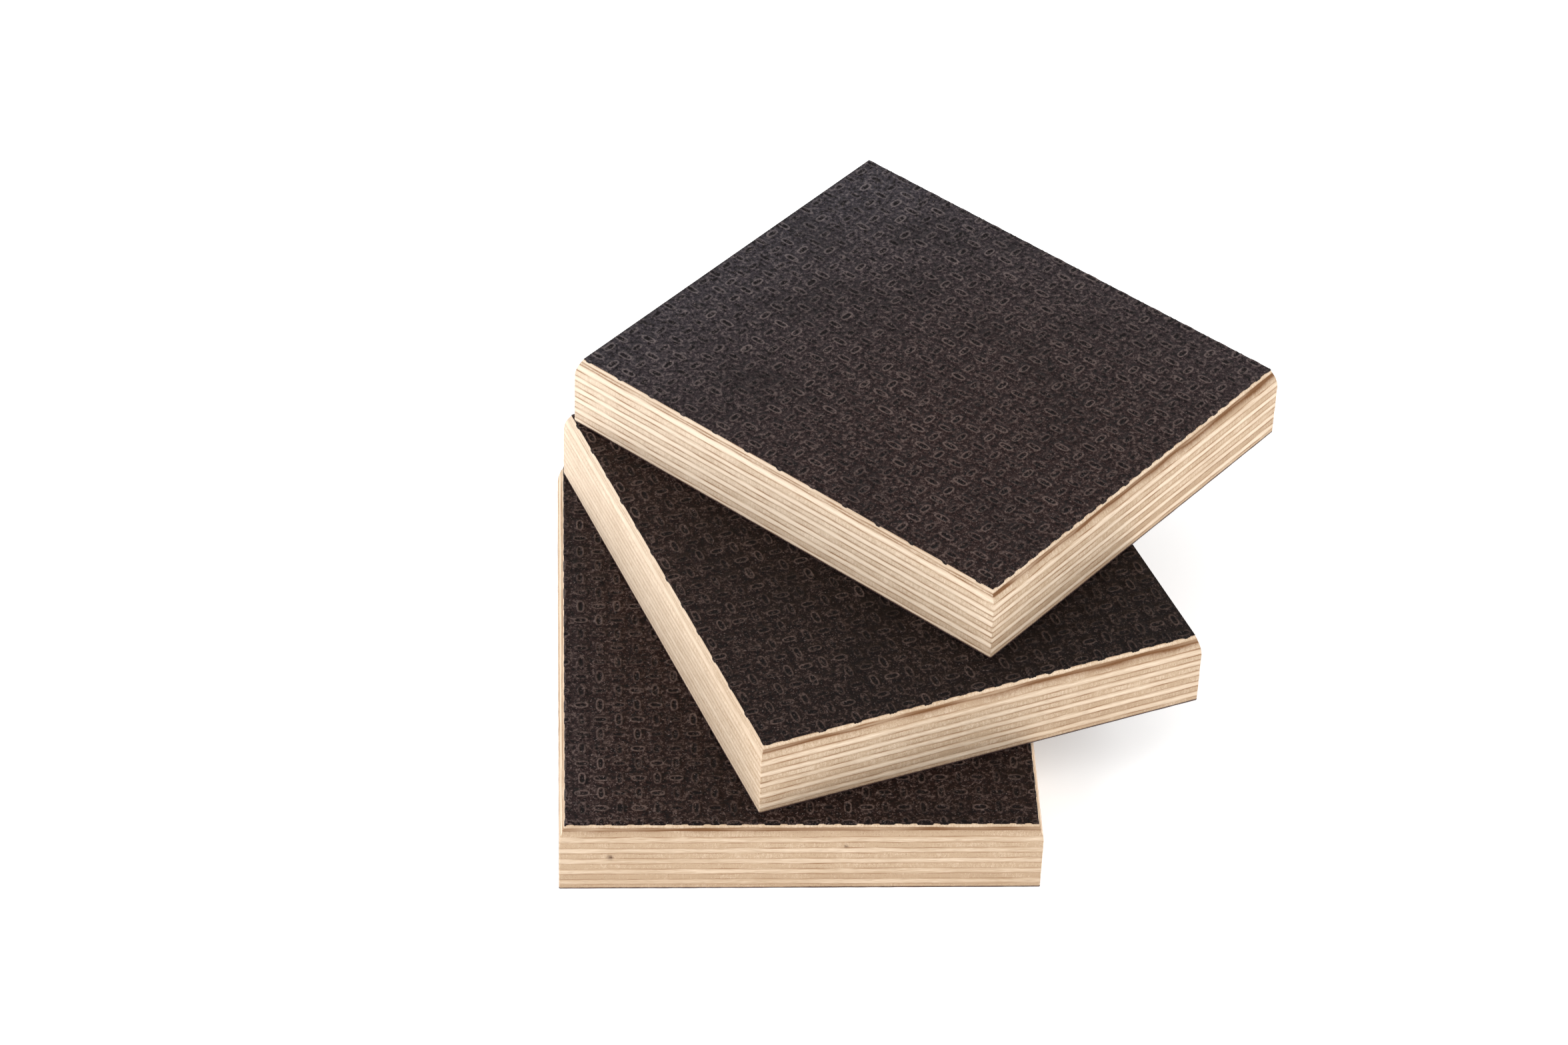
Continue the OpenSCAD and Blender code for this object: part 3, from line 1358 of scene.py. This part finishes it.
@dataclass
class PlywoodSheet:
    """One sheet: its smooth film, its crossed veneers and its anti-slip film.

    Attributes:
        pattern_start: Where a corner of the emboss's chequerboard lies, from the sheet's centre.
        cool: Painted sheen and painted shade on its upper film, as AntiSlipFilm takes it.
        look: What its sawn edges show.
        column_pitch: Distance between the columns of points round its walls.
        corner: Radius of its upright corners.
        crease_deg: Edges that turn more than this stay sharp.
    """

    name: str
    pattern_start: tuple[float, float]
    cool: PerWall
    look: EdgeLook
    column_pitch: float = 0.42
    corner: float = 0.3
    crease_deg: float = 55.0

    def build(self, finishes: dict[str, bpy.types.Material]) -> list[bpy.types.Object]:
        """Build, dress and fasten every layer.

        Args:
            finishes: Material for each of the record's slots.

        Returns:
            The sheet's pieces, from the bottom up.
        """
        place = SheetPlace.read(self.name)
        walk = WallWalk.round_sheet(place, self.column_pitch, self.corner)
        count = sum(node.startswith(self.name + "_ply_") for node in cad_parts)
        bottom = SmoothFilm(place, walk)
        pieces = [self._fasten(bottom.node, "pressed", bottom.build(), SMOOTH_SLOT, finishes)]
        for number in range(count, 0, -1):
            veneer = Veneer(place, walk, self.look, number, count)
            slot = veneer.grain.value
            pieces.append(self._fasten(veneer.node, "sawn", veneer.build(), slot, finishes))
        top = AntiSlipFilm(place, Emboss(self.pattern_start), self.cool)
        pieces.append(self._fasten(top.node, "embossed", top.build(), ANTI_SLIP_SLOT, finishes))
        return pieces

    def _fasten(self, node: str, word: str, shell: Shell, slot: str,
                finishes: dict[str, bpy.types.Material]) -> bpy.types.Object:
        """Write a layer into the scene and tie it to the construction.

        Args:
            node: The construction layer that it stands for.
            word: What was done to it, which ends its name.
            shell: Its surface.
            slot: Its material slot.
            finishes: Material for each slot.

        Returns:
            The piece.
        """
        piece = shell.write(f"{node}_{word}", finishes[slot], self.crease_deg)
        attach(piece, BODY)
        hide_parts(node)
        return piece


# ---------------------------------------------------------------- studio


@dataclass(frozen=True)
class Studio:
    """Pale floor, soft lights, and the camera that looks down on the stack.

    Attributes:
        lens: Focal length in millimetres.
        distance: From the aim point to the camera, in metres.
        azimuth_deg: Turn of the camera to the right round the stack.
        elevation_deg: Its height above the floor, as an angle.
        roll_deg: How far it is rolled about its line of sight.
        aim_from_lower: The aim point on the floor, from the lower sheet's middle, in millimetres.
        floor_reach: Half width of the floor in metres.
        floor_tone: Colour of the floor, mottled with floor_fleck; floor_glow is how much it shines.
        left_power: Power of a lamp in watts; left_place is its place in metres.
    """

    lens: float = 118.78
    distance: float = 1.1793
    azimuth_deg: float = -3.455
    elevation_deg: float = 40.562
    roll_deg: float = 2.2
    aim_from_lower: tuple[float, float] = (0.81, 59.23)
    floor_reach: float = 30.0
    floor_tone: Colour = (0.93, 0.93, 0.925)
    floor_fleck: Colour = (0.95, 0.95, 0.95)
    floor_glow: float = 0.25
    sky_tone: Colour = (1.0, 1.0, 1.0)
    sky_strength: float = 0.79
    lamp_size: float = 0.9
    left_power: float = 14.5
    left_place: Triple = (-1.1, -0.5, 0.8)
    right_power: float = 10.5
    right_place: Triple = (1.15, -0.3, 0.82)

    def build(self) -> None:
        """Set up the whole studio."""
        scene = bpy.context.scene
        scene.view_settings.view_transform = "Standard"
        self._floor()
        self._sky()
        self._lamp("left_lamp", self.left_place, self.left_power)
        self._lamp("right_lamp", self.right_place, self.right_power)
        scene.camera = self._camera()

    def _floor(self) -> bpy.types.Object:
        """Lay the floor, which isn't part of the object.

        Returns:
            The floor.
        """
        mesh = bpy.data.meshes.new("floor")
        reach = self.floor_reach
        corners = [(-reach, -reach, 0), (reach, -reach, 0), (reach, reach, 0), (-reach, reach, 0)]
        mesh.from_pydata(corners, [], [(0, 1, 2, 3)])
        graph = Graph("floor_paper")
        grain = graph.noise(graph.place(), 3.0)
        colour = graph.blend(self.floor_tone, self.floor_fleck, grain)
        paper = graph.surface(colour, 0.9 + 0.05 * grain, grain, 0.0, MM, 0.1, self.floor_glow)
        mesh.materials.append(paper)
        floor = bpy.data.objects.new("floor", mesh)
        bpy.context.scene.collection.objects.link(floor)
        return floor

    def _sky(self) -> None:
        """Surround the stack with even pale light."""
        world = bpy.data.worlds.new("studio_sky")
        world.use_nodes = True
        backdrop = world.node_tree.nodes["Background"]
        backdrop.inputs["Color"].default_value = (*self.sky_tone, 1.0)
        backdrop.inputs["Strength"].default_value = self.sky_strength
        bpy.context.scene.world = world

    def _lamp(self, name: str, place: Triple, power: float) -> None:
        """Hang one large soft lamp that faces the stack.

        Args:
            name: The lamp's name.
            place: Where it hangs, in metres.
            power: Its power in watts.
        """
        light = bpy.data.lights.new(name, "AREA")
        light.shape = "DISK"
        light.size = self.lamp_size
        light.energy = power
        lamp = bpy.data.objects.new(name, light)
        lamp.location = place
        lamp.rotation_euler = (-Vector(place)).to_track_quat("-Z", "Y").to_euler()
        bpy.context.scene.collection.objects.link(lamp)

    def _camera(self) -> bpy.types.Object:
        """Aim the camera from its angles round the aim point, with a slight roll.

        Its way back from the aim point comes from the two angles, right is level and square to that,
        and up is square to both. The roll turns right and up about the line of sight.

        Returns:
            The camera.
        """
        turn, lift, roll = (math.radians(a) for a in (self.azimuth_deg, self.elevation_deg, self.roll_deg))
        back = Vector((math.sin(turn) * math.cos(lift), -math.cos(turn) * math.cos(lift), math.sin(lift)))
        right = (-back).cross(Vector((0, 0, 1))).normalized()
        up = right.cross(-back)
        rolled_right = math.cos(roll) * right + math.sin(roll) * up
        rolled_up = math.cos(roll) * up - math.sin(roll) * right
        low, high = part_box("lower_sheet_bottom_film")
        aim = (low + high) / 2 + Vector((*self.aim_from_lower, 0)) * MM
        aim.z = 0.0
        lens = bpy.data.cameras.new("camera")
        lens.lens = self.lens
        camera = bpy.data.objects.new("camera", lens)
        pose = Matrix((rolled_right, rolled_up, back)).transposed().to_4x4()
        pose.translation = aim + back * self.distance
        camera.matrix_world = pose
        bpy.context.scene.collection.objects.link(camera)
        return camera


# ---------------------------------------------------------------- all together


def main() -> None:
    """Set up the studio, build the three sheets and report each piece."""
    logging.basicConfig(level=logging.INFO, format="%(message)s")
    Studio().build()
    finishes = {grain.value: BirchFinish().make(grain) for grain in Grain}
    finishes[ANTI_SLIP_SLOT] = AntiSlipFinish().make()
    finishes[SMOOTH_SLOT] = SmoothFilmFinish().make()
    knots = (Knot(-40.1, 9.0, 0.55, 0.25), Knot(9.4, 12.0, 0.35, 0.1))
    # tone is painted light and shade on each wall; the left walls are painted washed out by strong light.
    lower = EdgeLook((0.45, 0.25), tone=(-0.36, -0.1, 0.0, 0.0), plain=(0.35, 0.2, 0.0, 0.0), knots=knots)
    middle = EdgeLook((0.15, 0.95), tone=(-0.08, 0.0, 0.0, 0.0), plain=(0.15, 0.0, 0.0, 0.85),
                      bleach=(0.0, 0.0, 0.0, 0.25))
    upper = EdgeLook((0.1, 1.0), tone=(-0.03, 0.0, 0.0, 0.18), bleach=(0.0, 0.0, 0.0, 0.25))
    # Each sheet's third value is the painted sheen and painted shade on its upper film.
    sheets = (
        PlywoodSheet("lower_sheet", (3.75, 3.5), (-0.4, 0.6, 0.0, 0.0), lower),
        PlywoodSheet("middle_sheet", (5.5, 0.6), (-0.8, 0.4, 0.0, 0.4), middle),
        PlywoodSheet("upper_sheet", (2.9, 3.45), (0.08, 0.0, 0.35, 0.8), upper),
    )
    for sheet in sheets:
        for piece in sheet.build(finishes):
            LOG.info("%s: %d triangles", piece.name, len(piece.data.polygons))


if __name__ == "__main__":
    main()
